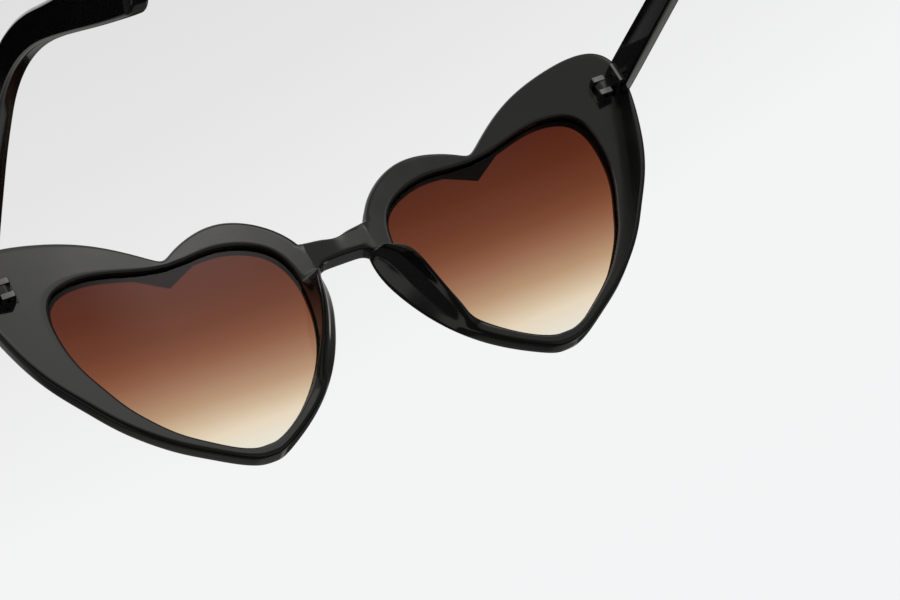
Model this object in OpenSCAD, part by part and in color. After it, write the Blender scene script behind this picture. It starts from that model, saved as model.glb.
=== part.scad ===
// Heart shaped sunglasses: one moulded front with two tinted lenses and two
// folding temples. X runs across the face to the wearer's left, Y runs back
// along the temples and Z is up. The glasses stand on the plane Z = 0, on the
// points of the hearts and the tips of the temples. Lengths are millimetres.

/* [Front] */
// Width of the front over both hearts
front_w = 147.4; // [130:0.5:160]
// Height of the hearts, from the point to the outer lobe
front_h = 61.4; // [50:0.5:70]
// Gap between the two hearts, across the nose
nose_w = 10.8; // [8:0.2:20]
// Thickness of the front from its front face to its back face
front_t = 4.1; // [3.6:0.05:6]
// How far the outer ends of the front sweep back
wrap_back = 5.55; // [2:0.05:9]
// Width of the rim across its back face, where it is neither wide nor narrow
rim_w = 5; // [4.2:0.1:6]
// Rounding of the outer edges of the front
edge_r = 0.8; // [0.3:0.05:0.9]
// Rounding of the back edge of the lens opening
opening_r = 0.6; // [0.1:0.05:0.65]

/* [Lens seat] */
// Thickness of a lens
lens_t = 1.3; // [1:0.05:1.8]
// Depth of the wall behind the lens
back_wall = 1.2; // [0.8:0.1:2.4]
// How far the lens reaches into its groove
groove_d = 0.8; // [0.4:0.05:1]
// Gap between the lens and each wall of its groove
lens_gap = 0.05; // [0.02:0.01:0.1]
// How far the front lip covers the edge of the opening
lip_w = 0.3; // [0.1:0.05:1]
// How far the point of the front lip comes down into the opening
notch_h = 3; // [0.5:0.1:6]
// Width of that point where it leaves the lip
notch_w = 13; // [8:0.5:20]

/* [Bridge] */
// Height of the bridge at its middle
bridge_h = 5; // [4:0.1:6]
// Thickness of the bridge without its arch, front to back
bridge_t = 4.1; // [3:0.1:4.4]
// How far the back of the bridge arches out at its middle
arch_h = 0.55; // [0:0.05:1.2]
// Half width of that arch
arch_w = 6.6; // [4:0.1:7]
// Depth of the dip in the top edge of the bridge
dip_h = 1; // [0:0.1:1.5]
// Half width of that dip
dip_w = 2; // [1:0.1:4]

/* [Nose pads] */
// How far a nose pad stands behind the back face
pad_h = 8; // [4:0.1:9]
// Rounding of the ridge of a pad
pad_r = 0.7; // [0.5:0.1:1.2]
// How far the side of a pad that faces the nose bulges out below its ridge
pad_bulge_w = 0.25; // [0:0.05:1]
// Depth of the crease along the foot of that side
pad_crease_d = 0.4; // [0:0.05:0.8]

/* [Temples] */
// Length of a temple from its front end to the bend behind the ear
temple_l = 100; // [85:1:115]
// Length of a temple from the bend to the middle of its round tip
ear_l = 56; // [46:1:64]
// How far the tip of a temple curves in towards the head
tip_in_w = 7; // [0:0.5:8]
// Distance from the top of the front down to the middle of a temple
temple_drop = 10.5; // [8:0.1:13]
// Downward slope of a temple, in degrees
temple_slope = 9; // [4:0.5:11]
// Height of a temple at its front end
temple_h = 6.3; // [5:0.1:8]
// Height of a temple halfway along
temple_mid_h = 5.6; // [4:0.1:7]
// Height of a temple at its tip
tip_h = 7.6; // [5:0.1:10]
// Thickness of a temple
temple_t = 2.9; // [2.4:0.1:4]
// Rounding of the long edges of a temple
temple_r = 0.6; // [0.3:0.05:1]
// Length of the bend, before and behind its corner
bend_l = 20; // [10:1:28]
// Gap between the front end of an open temple and the front
temple_gap = 0.15; // [0.1:0.05:0.4]

/* [Hinges] */
// Distance from the middle of a temple down to the middle of its hinge
hinge_drop = 0.65; // [0:0.05:1.2]
// Distance from the hinge axis to the inner face of the open temple
hinge_off = 3; // [2.6:0.1:4]
// Distance from the back face of the front to the hinge axis
hinge_back = 1.4; // [1.4:0.05:3]
// Width of the two lugs on the front
lug_w = 3; // [2.4:0.1:4]
// Height of one lug
lug_h = 1.25; // [1:0.05:2]
// How far the lugs reach past the hinge axis
lug_reach = 1.35; // [1:0.05:2]
// Radius of the knuckle on the temple
knuckle_r = 1.15; // [0.9:0.05:1.2]
// Height of the knuckle
knuckle_h = 1.95; // [1.2:0.05:3]
// Gap between the knuckle and each lug
knuckle_gap = 0.05; // [0.03:0.01:0.1]
// Radius of the screw
screw_r = 0.55; // [0.4:0.05:0.6]
// Gap around the screw in its bores
screw_gap = 0.05; // [0.02:0.01:0.09]
// Radius of the screw head
head_r = 0.95; // [0.8:0.05:1.2]
// Height of the screw head
head_h = 0.4; // [0.3:0.05:0.6]

/* [Hidden] */
$fn = 48;

// Where the middle of a heart lies, as shares of its width and height
heart_reach_share = 0.5666;
heart_rise_share = 0.438;
heart_w = (front_w - nose_w) / 2;
heart_x = front_w / 2 - heart_reach_share * heart_w;
heart_z = heart_rise_share * front_h;

// One row for each place around a heart: the direction from the middle in
// degrees, the reach of the outer edge as a share of the heart, and the width
// of the rim there as a share of rim_w. Direction 90 is the notch at the top,
// 180 is the nose and 264 is the point of the heart.
rim_shares = [
    [  0, 0.437, 1.36], [ 22, 0.567, 2.19], [ 37, 0.708, 3.20],
    [ 47, 0.745, 3.46], [ 57, 0.654, 2.70], [ 67, 0.546, 1.99],
    [ 76, 0.452, 1.29], [ 83, 0.391, 0.75], [ 88, 0.359, 0.43],
    [ 92, 0.353, 0.38], [ 97, 0.377, 0.63], [105, 0.421, 1.01],
    [118, 0.475, 1.25], [134, 0.488, 1.08], [148, 0.476, 1.01],
    [168, 0.442, 1.06], [186, 0.405, 0.86], [204, 0.385, 0.69],
    [223, 0.384, 0.60], [241, 0.399, 0.49], [254, 0.422, 0.46],
    [263, 0.441, 0.51], [270, 0.434, 0.48], [278, 0.410, 0.44],
    [290, 0.379, 0.45], [306, 0.362, 0.53], [323, 0.361, 0.70],
    [342, 0.382, 0.94]];
// Steps from each of those places to the next
rim_steps = [5, 5, 4, 4, 4, 4, 3, 3, 3, 3, 3, 3, 4, 4,
             7, 5, 4, 4, 4, 4, 3, 3, 3, 3, 3, 3, 4, 4];
// The rows between which the bridge grows out of the rim
bridge_row_index = 14;
bridge_steps = 5;
// Passes that bring the curve onto the rows
fit_passes = 24;

full_angle = 360;
right_angle = 90;

// Lens groove, measured forwards from the back face
groove_front = back_wall + lens_t + 2 * lens_gap;
lip_r_share = 0.3;
lip_r = lip_r_share * (front_t - groove_front);

// The rise of a pad from its top to its bottom, and its place on the rim
pad_top_share = 0.566;
pad_bottom_share = 0.165;
pad_top = pad_top_share * front_h;
pad_bottom = pad_bottom_share * front_h;
pad_skew_share = 0.67;
ridge_start_share = 0.1;
pad_blend_h = 3.2;
// Points along the side of a pad that faces the nose, and where its crease and
// its bulge lie. The crease fades out towards the bottom of the pad.
pad_side_shares = [0.23, 0.45, 0.63, 0.8];
crease_share = 0.45;
bulge_share = 0.8;
crease_end_share = 0.9;
// Corner of a rounding at half its turn
mid_share = 1 - sqrt(0.5);
// How far the points that the glasses stand on are cut flat
rest_cut_h = 0.1;

// Bridge
bridge_rise_share = 0.6336;
bridge_z = bridge_rise_share * front_h;
bridge_rows = 12;
bridge_square_share = 0.25;
bridge_top_power = 1.7;
bridge_under_power = 7;

// Temples, which stay a little inside the outer ends of the front
temple_side_gap = 0.9;
temple_inner_x = front_w / 2 - temple_side_gap - temple_t;
temple_x = temple_inner_x + temple_t / 2;
temple_z = front_h - temple_drop;
temple_end_r = 0.35;
temple_mid_share = 0.45;
ear_h_share = 0.72;
edge_steps = 3;
// Where the inward curve of a temple starts, as a share of its length
curve_start_share = 0.4;
// Places of the rings along the straight part and the ear part, as shares
arm_shares = [0.03, 0.07, 0.13, 0.22, 0.34, 0.48, 0.64, 0.8];
bend_steps = 9;
ear_shares = [0.6, 0.75, 0.9];
tip_steps = 6;
tip_angle = 82;

// Hinges
hinge_z = temple_z - hinge_drop;
hinge_x = temple_inner_x - hinge_off;
hinge_y = wrap_y(hinge_x) + hinge_back;
lug_rise = (knuckle_h + lug_h) / 2 + knuckle_gap;
stack_h = knuckle_h + 2 * lug_h + 2 * knuckle_gap;
lug_edge_r = 0.3;
seat_t = 0.6;
seat_sink = 0.45;
seat_w = 4;
leaf_t = 1;
leaf_sink = 0.35;
leaf_l = 5.1;
leaf_front = 0.6;
slot_w = 0.3;
slot_h = 0.2;
over = 0.5;

// The whole part is moved so that its box is centred on the origin
temple_end_y = tip_centre()[0] + tip_h / 2;
front_y = -(temple_end_y - front_t) / 2;

function wrap_y(x) = wrap_back * pow(2 * x / front_w, 2);

// Curves through the rows of a closed table

function around(list, i) = list[(i + len(list)) % len(list)];

// Control values of a closed cubic curve that passes through the given values
function controls(values, guess, passes) =
    passes == 0 ? guess :
    controls(values,
             [for (i = [0 : len(values) - 1])
                 guess[i] + values[i]
                 - (around(guess, i - 1) + 4 * guess[i] + around(guess, i + 1)) / 6],
             passes - 1);

function curve_at(c, i, u) =
    (pow(1 - u, 3) * around(c, i - 1)
     + (3 * pow(u, 3) - 6 * pow(u, 2) + 4) * around(c, i)
     + (3 * u + 3 * pow(u, 2) - 3 * pow(u, 3) + 1) * around(c, i + 1)
     + pow(u, 3) * around(c, i + 2)) / 6;

// The directions grow by a full turn, so their even part is taken out first
row_count = len(rim_shares);
even_angle = full_angle / row_count;
rim_level = [for (i = [0 : row_count - 1]) rim_shares[i] - [i * even_angle, 0, 0]];
rim_control = controls(rim_level, rim_level, fit_passes);
rim_places = [for (i = [0 : row_count - 1])
                 for (k = [0 : rim_steps[i] - 1]) [i, k / rim_steps[i]]];
rim_count = len(rim_places);
bridge_first = [for (n = [0 : rim_count - 1]) if (rim_places[n] == [bridge_row_index, 0]) n][0];
bridge_last = bridge_first + bridge_steps;

// Direction, reach and rim width at one place
function rim_row(place) =
    curve_at(rim_control, place[0], place[1])
    + [(place[0] + place[1]) * even_angle, 0, 0];

function outer_point(row) =
    [heart_x + row[1] * heart_w * cos(row[0]),
     max(heart_z + row[1] * front_h * sin(row[0]), 0)];
function to_middle(p) =
    let (d = [heart_x, heart_z] - p)
    d / norm(d);

// Height of the pad at a place on the rim, none on the outer side of the heart
function pad_share(row, p) =
    row[0] > right_angle && row[0] < 3 * right_angle
    ? min(max((pad_top - p[1]) / (pad_top - pad_bottom), 0), 1) : 0;
function pad_rise(u) = pad_h * sin(2 * right_angle * pow(u, pad_skew_share));

// Extra reach of the front lip, which forms the notch of the heart
function notch_reach(x) = notch_h * max(0, 1 - abs(x - heart_x) * 2 / notch_w);

// Back of a plain section, from the outer wall to the wall of the opening.
// The first number is the distance in from the outer edge, the second is back.
function plain_back(w) =
    let (flat = w - edge_r - opening_r)
    [[0, -edge_r],
     [edge_r * mid_share, -edge_r * mid_share],
     [edge_r, 0],
     [edge_r + flat / 4, 0],
     [edge_r + flat / 2, 0],
     [edge_r + flat * 3 / 4, 0],
     [w - opening_r, 0],
     [w - opening_r * mid_share, -opening_r * mid_share],
     [w, -opening_r]];

// Back of a section through a pad with its ridge at the given place. The share
// of the crease that is left there is the last value.
function pad_back(w, ridge, rise, crease) =
    let (foot = [0, edge_r - front_t],
         top = [ridge, rise],
         side = top - foot,
         out = [-side[1], side[0]] / norm(side),
         bends = [[0, 0], [crease_share, -pad_crease_d * crease],
                  [bulge_share, pad_bulge_w], [1, 0]],
         wall = rise - pad_r)
    concat([for (f = pad_side_shares) foot + side * f + out * lookup(f, bends)],
           [top,
            [min(ridge + pad_r * 0.7, w), rise - pad_r * 0.3],
            [min((ridge + pad_r + w) / 2, w), wall - (wall + opening_r) / 4],
            [w, wall / 3],
            [w, -opening_r]]);

// The rest of a section: groove, front lip and front face
function front_of(w, reach) =
    [[w, -back_wall],
     [w - groove_d, -back_wall],
     [w - groove_d, -groove_front],
     [w + reach, -groove_front],
     [w + reach, lip_r - front_t],
     [w + reach - lip_r, -front_t],
     [edge_r, -front_t],
     [edge_r * mid_share, edge_r * mid_share - front_t],
     [0, edge_r - front_t]];

function mix(a, b, f) = a + (b - a) * f;
function ease(f) = f * f * (3 - 2 * f);

function section(row, p) =
    let (w = row[2] * rim_w,
         middle = p + to_middle(p) * w / 2,
         u = pad_share(row, middle),
         rise = pad_rise(u),
         ridge = (w - pad_r) * (1 - exp(-u / ridge_start_share)),
         crease = 1 - ease(min(u / crease_end_share, 1)),
         f = ease(min(rise / pad_blend_h, 1)),
         plain = plain_back(w),
         pad = pad_back(w, ridge, rise, crease),
         x = (p + to_middle(p) * w)[0])
    concat([for (k = [0 : len(plain) - 1]) mix(plain[k], pad[k], f)],
           front_of(w, lip_w + (row[0] < 2 * right_angle ? notch_reach(x) : 0)));

function place_3d(p, s) =
    let (q = p + to_middle(p) * s[0])
    [q[0], wrap_y(q[0]) + s[1], q[1]];

rim_rings = [for (place = rim_places)
                let (row = rim_row(place), p = outer_point(row))
                [for (s = section(row, p)) place_3d(p, s)]];
ring_size = len(rim_rings[0]);

function flat(lists) = [for (list = lists) for (item = list) item];
function mirrored(points) = [for (p = points) [-p[0], p[1], p[2]]];
function turned(faces) = [for (f = faces) [f[0], f[2], f[1]]];
function moved(faces, by) = [for (f = faces) [for (i = f) i + by]];
function quad(a, b, c, d) = [[a, c, b], [a, d, c]];

// Numbers of the section points between which the bridge grows out of the rim,
// from the start of the rounding at the front corner to its end at the back
corner_count = 3;
bridge_front = ring_size - corner_count;
bridge_back = 2;
bridge_depth = (bridge_back - bridge_front + ring_size) % ring_size;

function under_bridge(n, k) =
    n >= bridge_first && n < bridge_last
    && (k - bridge_front + ring_size) % ring_size < bridge_depth;
function rim_index(n, k) = (n % rim_count) * ring_size + (k + ring_size) % ring_size;

rim_faces = flat([for (n = [0 : rim_count - 1])
                     for (k = [0 : ring_size - 1])
                         if (!under_bridge(n, k))
                             quad(rim_index(n, k), rim_index(n, k + 1),
                                  rim_index(n + 1, k + 1), rim_index(n + 1, k))]);

// The edge of the patch where the bridge meets a rim: back along the top,
// down the back face, forwards along the underside and up the front face
bridge_loop = concat(
    [for (k = [0 : bridge_depth - 1]) rim_index(bridge_first, bridge_front + k)],
    [for (n = [bridge_first : bridge_last - 1]) rim_index(n, bridge_back)],
    [for (k = [0 : bridge_depth - 1]) rim_index(bridge_last, bridge_back - k)],
    [for (n = [bridge_last : -1 : bridge_first + 1]) rim_index(n, bridge_front)]);
loop_size = len(bridge_loop);

// Direction of each loop point as seen from the middle of the bridge section,
// which has its corners at odd counts of the corner turn
corner_angle = 45;
function side_turns(from, steps) =
    [for (k = [0 : steps - 1]) (from - 2 * k / steps) * corner_angle];
loop_turns = concat(side_turns(3, bridge_depth), side_turns(1, bridge_steps),
                    side_turns(-1, bridge_depth), side_turns(-3, bridge_steps));

function squared(v) = sign(v) * pow(abs(v), bridge_square_share);
function bridge_middle(turn) =
    [bridge_t / 2 - front_t + squared(cos(turn)) * bridge_t / 2,
     bridge_z + squared(sin(turn)) * bridge_h / 2];

// A point of the bridge, from its loop point on one rim towards the other rim
function bridge_point(start, turn, side) =
    let (flare = mix(bridge_under_power, bridge_top_power, (1 + sin(turn)) / 2),
         f = 1 - pow(abs(side), flare),
         x = start[0] * side,
         m = bridge_middle(turn),
         dip = dip_h * max(0, sin(turn)) * exp(-pow(x / dip_w, 2)),
         arch = arch_h * max(0, squared(cos(turn))) * max(0, 1 - pow(x / arch_w, 2)))
    [x, mix(start[1], m[0], f) + arch, mix(start[2], m[1], f) - dip];

rim_points = flat(rim_rings);
half_size = len(rim_points);
bridge_points = [for (j = [1 : bridge_rows - 1])
                    for (i = [0 : loop_size - 1])
                        bridge_point(rim_points[bridge_loop[i]], loop_turns[i],
                                     cos(2 * right_angle * j / bridge_rows))];
function bridge_index(j, i) =
    j == 0 ? bridge_loop[i % loop_size] :
    j == bridge_rows ? half_size + bridge_loop[i % loop_size] :
    2 * half_size + (j - 1) * loop_size + i % loop_size;
bridge_faces = flat([for (j = [0 : bridge_rows - 1])
                        for (i = [0 : loop_size - 1])
                            quad(bridge_index(j, i), bridge_index(j, i + 1),
                                 bridge_index(j + 1, i + 1), bridge_index(j + 1, i))]);

module front_frame() {
    color([0.03, 0.03, 0.03])
        translate([0, front_y, 0])
            polyhedron(
                concat(rim_points, mirrored(rim_points), bridge_points),
                concat(rim_faces, turned(moved(rim_faces, half_size)), bridge_faces));
}

// Lens

lens_rings = 3;
lens_edge = [for (place = rim_places)
                let (row = rim_row(place), p = outer_point(row))
                p + to_middle(p) * (row[2] * rim_w - groove_d + lens_gap)];
function lens_point(edge, share, depth) =
    let (q = mix([heart_x, heart_z], edge, share))
    [q[0], wrap_y(q[0]) - depth, q[1]];
function lens_side(depth) =
    concat([lens_point([heart_x, heart_z], 1, depth)],
           [for (r = [1 : lens_rings])
               for (e = lens_edge) lens_point(e, r / lens_rings, depth)]);
lens_side_size = 1 + lens_rings * rim_count;
function lens_index(r, n) = 1 + (r - 1) * rim_count + n % rim_count;
lens_side_faces = concat(
    [for (n = [0 : rim_count - 1]) [0, lens_index(1, n), lens_index(1, n + 1)]],
    flat([for (r = [1 : lens_rings - 1])
             for (n = [0 : rim_count - 1])
                 quad(lens_index(r, n), lens_index(r, n + 1),
                      lens_index(r + 1, n + 1), lens_index(r + 1, n))]));
lens_wall_faces = flat([for (n = [0 : rim_count - 1])
                           quad(lens_index(lens_rings, n),
                                lens_index(lens_rings, n + 1),
                                lens_side_size + lens_index(lens_rings, n + 1),
                                lens_side_size + lens_index(lens_rings, n))]);

module lens() {
    color([0.45, 0.25, 0.18, 0.6])
        translate([0, front_y, 0])
            polyhedron(
                concat(lens_side(back_wall + lens_gap),
                       lens_side(groove_front - lens_gap)),
                concat(lens_side_faces,
                       turned(moved(lens_side_faces, lens_side_size)),
                       lens_wall_faces));
}

module left_lens() {
    lens();
}

module right_lens() {
    mirror([1, 0, 0]) lens();
}

// Temple

// The middle line of a temple in the plane of its length and height, as
// straight lines between its front end, the corner of the bend and its tip
temple_start = [wrap_y(temple_x) + temple_gap, temple_z];
bend_corner = temple_start + temple_l * [cos(temple_slope), -sin(temple_slope)];
function tip_centre() =
    let (start = [wrap_y(temple_x) + temple_gap, temple_z],
         corner = start + temple_l * [cos(temple_slope), -sin(temple_slope)],
         z = tip_h / 2 - rest_cut_h,
         drop = corner[1] - z)
    [corner[0] + sqrt(pow(ear_l, 2) - pow(drop, 2)), z];
ear_line = tip_centre() - bend_corner;
ear_slope = -atan2(ear_line[1], ear_line[0]);
arm_l = temple_l - bend_l;

function slope_line(a) = [cos(a), -sin(a)];
function bend_point(f) =
    let (a = bend_corner - bend_l * slope_line(temple_slope),
         b = bend_corner + bend_l * slope_line(ear_slope))
    mix(mix(a, bend_corner, f), mix(bend_corner, b, f), f);

// One ring is its middle, its slope, its height and its thickness
function arm_h(f) =
    f < temple_mid_share
    ? mix(temple_h, temple_mid_h, ease(f / temple_mid_share)) : temple_mid_h;
arm_rings = [for (f = arm_shares)
                [temple_start + f * temple_l * slope_line(temple_slope),
                 temple_slope * min(1, f / arm_shares[2]), arm_h(f), temple_t]];
bend_rings = [for (k = [0 : bend_steps])
                 let (f = k / bend_steps)
                 [bend_point(f), mix(temple_slope, ear_slope, f),
                  mix(temple_mid_h, ear_h_share * tip_h, ease(f)), temple_t]];
ear_rings = [for (f = ear_shares)
                [bend_corner + f * ear_line, ear_slope,
                 mix(ear_h_share * tip_h, tip_h, f), temple_t]];
tip_rings = [for (k = [0 : tip_steps])
                let (a = tip_angle * k / tip_steps)
                [tip_centre() + sin(a) * tip_h / 2 * slope_line(ear_slope),
                 ear_slope, cos(a) * tip_h, temple_t * pow(cos(a), 1 / 3)]];

// Outline of a ring: a rectangle with rounded corners, sideways then up
function corner(t, h, r, side, up, a) =
    [side * (t / 2 - r + r * cos(a)), up * (h / 2 - r + r * sin(a))];
function ring_outline(t, h, inset) =
    let (r = min(temple_r, h / 2 - inset, t / 2 - inset),
         inner_t = t - 2 * inset,
         inner_h = h - 2 * inset,
         turns = [for (k = [0 : edge_steps]) right_angle * k / edge_steps],
         back_turns = [for (k = [edge_steps : -1 : 0]) right_angle * k / edge_steps])
    concat([for (a = turns) corner(inner_t, inner_h, r, 1, 1, a)],
           [for (a = back_turns) corner(inner_t, inner_h, r, -1, 1, a)],
           [for (a = turns) corner(inner_t, inner_h, r, -1, -1, a)],
           [for (a = back_turns) corner(inner_t, inner_h, r, 1, -1, a)]);
function temple_ring(ring) =
    [for (q = ring_outline(ring[3], ring[2], 0))
        let (y = ring[0][0] + q[1] * sin(ring[1]),
             f = max(y / temple_end_y - curve_start_share, 0) / (1 - curve_start_share))
        [temple_x + q[0] - tip_in_w * pow(f, 2),
         y,
         max(ring[0][1] + q[1] * cos(ring[1]), 0)]];
// The front end follows the back face of the front, with its edge rounded off
function end_ring(inset, back) =
    [for (q = ring_outline(temple_t, temple_h, inset))
        [temple_x + q[0],
         wrap_y(temple_x + q[0]) + temple_gap + back,
         temple_z + q[1] - back * tan(temple_slope)]];
temple_rings = concat(
    [end_ring(temple_end_r, 0), end_ring(0, temple_end_r)],
    [for (ring = concat(arm_rings, bend_rings, ear_rings, tip_rings)) temple_ring(ring)]);
temple_ring_size = len(temple_rings[0]);
temple_last = len(temple_rings) - 1;
function temple_index(n, k) = n * temple_ring_size + k % temple_ring_size;
temple_faces = concat(
    [[for (k = [temple_ring_size - 1 : -1 : 0]) temple_index(0, k)]],
    flat([for (n = [0 : temple_last - 1])
             for (k = [0 : temple_ring_size - 1])
                 quad(temple_index(n, k), temple_index(n + 1, k),
                      temple_index(n + 1, k + 1), temple_index(n, k + 1))]),
    [[for (k = [0 : temple_ring_size - 1]) temple_index(temple_last, k)]]);

module temple() {
    color([0.03, 0.03, 0.03])
        translate([0, front_y, 0])
            polyhedron(flat(temple_rings), temple_faces);
}

module left_temple() {
    temple();
}

module right_temple() {
    mirror([1, 0, 0]) temple();
}

// Hinges, made for the left side

module at_hinge() {
    translate([hinge_x, front_y + hinge_y, hinge_z]) children();
}

module screw_bore() {
    cylinder(r = screw_r + screw_gap, h = stack_h + 2 * over, center = true);
}

// The slope of the back face where the hinge stands, in degrees
seat_turn = atan(8 * wrap_back * hinge_x / pow(front_w, 2));

// A block from the front past the hinge axis, with its two far edges rounded
module lug(level) {
    side_w = lug_w / 2 - lug_edge_r;
    end = lug_reach - lug_edge_r;
    translate([0, 0, level * lug_rise - lug_h / 2]) {
        translate([-lug_w / 2, -hinge_back, 0])
            cube([lug_w, hinge_back + end, lug_h]);
        translate([-side_w, 0, 0])
            cube([2 * side_w, lug_reach, lug_h]);
        for (side = [-1, 1])
            translate([side * side_w, end, 0])
                cylinder(r = lug_edge_r, h = lug_h);
    }
}

module front_hinge() {
    color([0.08, 0.08, 0.08])
        at_hinge()
            difference() {
                union() {
                    lug(-1);
                    lug(1);
                    translate([0, -hinge_back, 0])
                        rotate([0, 0, seat_turn])
                            translate([-seat_w / 2, -seat_sink, -stack_h / 2])
                                cube([seat_w, seat_t, stack_h]);
                }
                screw_bore();
            }
}

module temple_hinge() {
    color([0.08, 0.08, 0.08])
        at_hinge()
            difference() {
                union() {
                    cylinder(r = knuckle_r, h = knuckle_h, center = true);
                    translate([0, -leaf_front, -knuckle_h / 2])
                        cube([hinge_off, leaf_front + knuckle_r, knuckle_h]);
                    translate([hinge_off - leaf_t + leaf_sink, -leaf_front, -stack_h / 2])
                        cube([leaf_t, leaf_l, stack_h]);
                }
                screw_bore();
            }
}

module hinge_screw() {
    color([0.3, 0.3, 0.3])
        at_hinge()
            difference() {
                union() {
                    cylinder(r = screw_r, h = stack_h, center = true);
                    translate([0, 0, stack_h / 2])
                        cylinder(r = head_r, h = head_h);
                }
                translate([-head_r - over, -slot_w / 2, stack_h / 2 + head_h - slot_h])
                    cube([2 * (head_r + over), slot_w, slot_h + over]);
            }
}

module left_front_hinge() {
    front_hinge();
}

module right_front_hinge() {
    mirror([1, 0, 0]) front_hinge();
}

module left_temple_hinge() {
    temple_hinge();
}

module right_temple_hinge() {
    mirror([1, 0, 0]) temple_hinge();
}

module left_hinge_screw() {
    hinge_screw();
}

module right_hinge_screw() {
    mirror([1, 0, 0]) hinge_screw();
}

front_frame();
left_lens();
right_lens();
left_temple();
right_temple();
left_front_hinge();
right_front_hinge();
left_temple_hinge();
right_temple_hinge();
left_hinge_screw();
right_hinge_screw();
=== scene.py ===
import math

import bmesh
import bpy
import numpy as np
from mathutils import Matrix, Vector
from mathutils.kdtree import KDTree

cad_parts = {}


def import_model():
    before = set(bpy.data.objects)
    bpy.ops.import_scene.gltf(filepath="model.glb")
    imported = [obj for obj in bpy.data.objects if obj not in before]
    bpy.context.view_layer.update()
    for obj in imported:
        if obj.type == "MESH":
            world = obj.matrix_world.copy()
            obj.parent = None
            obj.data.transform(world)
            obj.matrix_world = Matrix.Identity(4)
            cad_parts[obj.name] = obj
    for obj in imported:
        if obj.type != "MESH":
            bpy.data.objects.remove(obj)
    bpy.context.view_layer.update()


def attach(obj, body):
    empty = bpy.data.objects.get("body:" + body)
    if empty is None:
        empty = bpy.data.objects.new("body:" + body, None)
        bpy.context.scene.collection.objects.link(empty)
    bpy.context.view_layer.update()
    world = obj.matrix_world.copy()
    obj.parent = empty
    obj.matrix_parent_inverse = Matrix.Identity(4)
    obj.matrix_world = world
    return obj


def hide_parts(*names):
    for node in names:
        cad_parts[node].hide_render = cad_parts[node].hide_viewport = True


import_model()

# Heart shaped sunglasses. All lengths in the shape formulas are millimetres in
# the row frame, and MM turns them into metres. The shapes follow the same
# formulas as the part's source, sampled more finely.
MM = 0.001
QUARTER = math.pi / 2

# Front
FRONT_W = 147.4
FRONT_H = 61.4
NOSE_W = 10.8
FRONT_T = 4.1
WRAP_BACK = 5.55
RIM_W = 5.0
EDGE_R = 0.8
OPENING_R = 0.6
LENS_T = 1.3
LENS_GAP = 0.05
LENS_RINGS = 10
BACK_WALL = 1.2
GROOVE_D = 0.8
GROOVE_FRONT = BACK_WALL + LENS_T + 2 * LENS_GAP
LIP_W = 0.3
LIP_R_SHARE = 0.3
LIP_R = LIP_R_SHARE * (FRONT_T - GROOVE_FRONT)
NOTCH_H = 3.0
NOTCH_W = 13.0

# Bridge: its arch and dip, and how fast it widens towards the rims
BRIDGE_H = 5.0
BRIDGE_T = 4.1
BRIDGE_RISE_SHARE = 0.6336
BRIDGE_Z = BRIDGE_RISE_SHARE * FRONT_H
BRIDGE_SQUARE = 0.25
ARCH_H = 0.55
ARCH_W = 6.6
DIP_H = 1.0
DIP_W = 2.0
TOP_FLARE = 1.7
UNDER_FLARE = 7.0

# Nose pads: where they begin and end as shares of the front's height. CREASE_END
# and RIDGE_START are shares of the way down the pad, and CREASE_SHARE and
# BULGE_SHARE of its side that faces the nose
PAD_H = 8.0
PAD_R = 0.7
PAD_TOP_SHARE = 0.566
PAD_BOTTOM_SHARE = 0.165
PAD_TOP = PAD_TOP_SHARE * FRONT_H
PAD_BOTTOM = PAD_BOTTOM_SHARE * FRONT_H
PAD_SKEW = 0.67
PAD_BLEND = 3.2
PAD_CREASE = 0.4
CREASE_SHARE = 0.45
CREASE_END = 0.9
PAD_BULGE = 0.25
BULGE_SHARE = 0.8
RIDGE_START = 0.1
SHOULDER_OUT = 0.7
SHOULDER_DOWN = 0.3

# Softening: fillets where the bridge and the pads grow out of the rims, and a
# long runout at the lower ends of the pads
FILLET = 0.8
FILLET_LEAST = 0.4
FILLET_PASSES = 6
WALL_FADE = 1.2
PAD_TOP_FADE = 0.6
PAD_TOP_REACH = 17
PAD_END_RISE = 2.5
PAD_END_FADE = 3.0
PAD_END_PASSES = 40

# Rim rows: direction from the middle of the heart, reach of the outer edge as
# a share of the heart, width of the rim as a share of RIM_W
RIM_ROWS = [
    (0, 0.437, 1.36), (22, 0.567, 2.19), (37, 0.708, 3.20), (47, 0.745, 3.46),
    (57, 0.654, 2.70), (67, 0.546, 1.99), (76, 0.452, 1.29), (83, 0.391, 0.75),
    (88, 0.359, 0.43), (92, 0.353, 0.38), (97, 0.377, 0.63), (105, 0.421, 1.01),
    (118, 0.475, 1.25), (134, 0.488, 1.08), (148, 0.476, 1.01), (168, 0.442, 1.06),
    (186, 0.405, 0.86), (204, 0.385, 0.69), (223, 0.384, 0.60), (241, 0.399, 0.49),
    (254, 0.422, 0.46), (263, 0.441, 0.51), (270, 0.434, 0.48), (278, 0.410, 0.44),
    (290, 0.379, 0.45), (306, 0.362, 0.53), (323, 0.361, 0.70), (342, 0.382, 0.94)]
RIM_STEPS = [5, 5, 4, 4, 4, 4, 3, 3, 3, 3, 3, 3, 4, 4, 7, 5, 4, 4, 4, 4, 3, 3, 3, 3, 3, 3, 4, 4]
BRIDGE_ROW = 14
BRIDGE_STEPS = 5
HEART_REACH_SHARE = 0.5666
HEART_RISE_SHARE = 0.438
HEART_W = (FRONT_W - NOSE_W) / 2
HEART_X = FRONT_W / 2 - HEART_REACH_SHARE * HEART_W
HEART_Z = HEART_RISE_SHARE * FRONT_H
TIP_SOFT = 0.25

# How much finer than the source each direction is sampled
RIM_FINE = 6
SECTION_FINE = 3
BRIDGE_FINE = 3
BRIDGE_ROWS = 12 * BRIDGE_FINE

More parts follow.
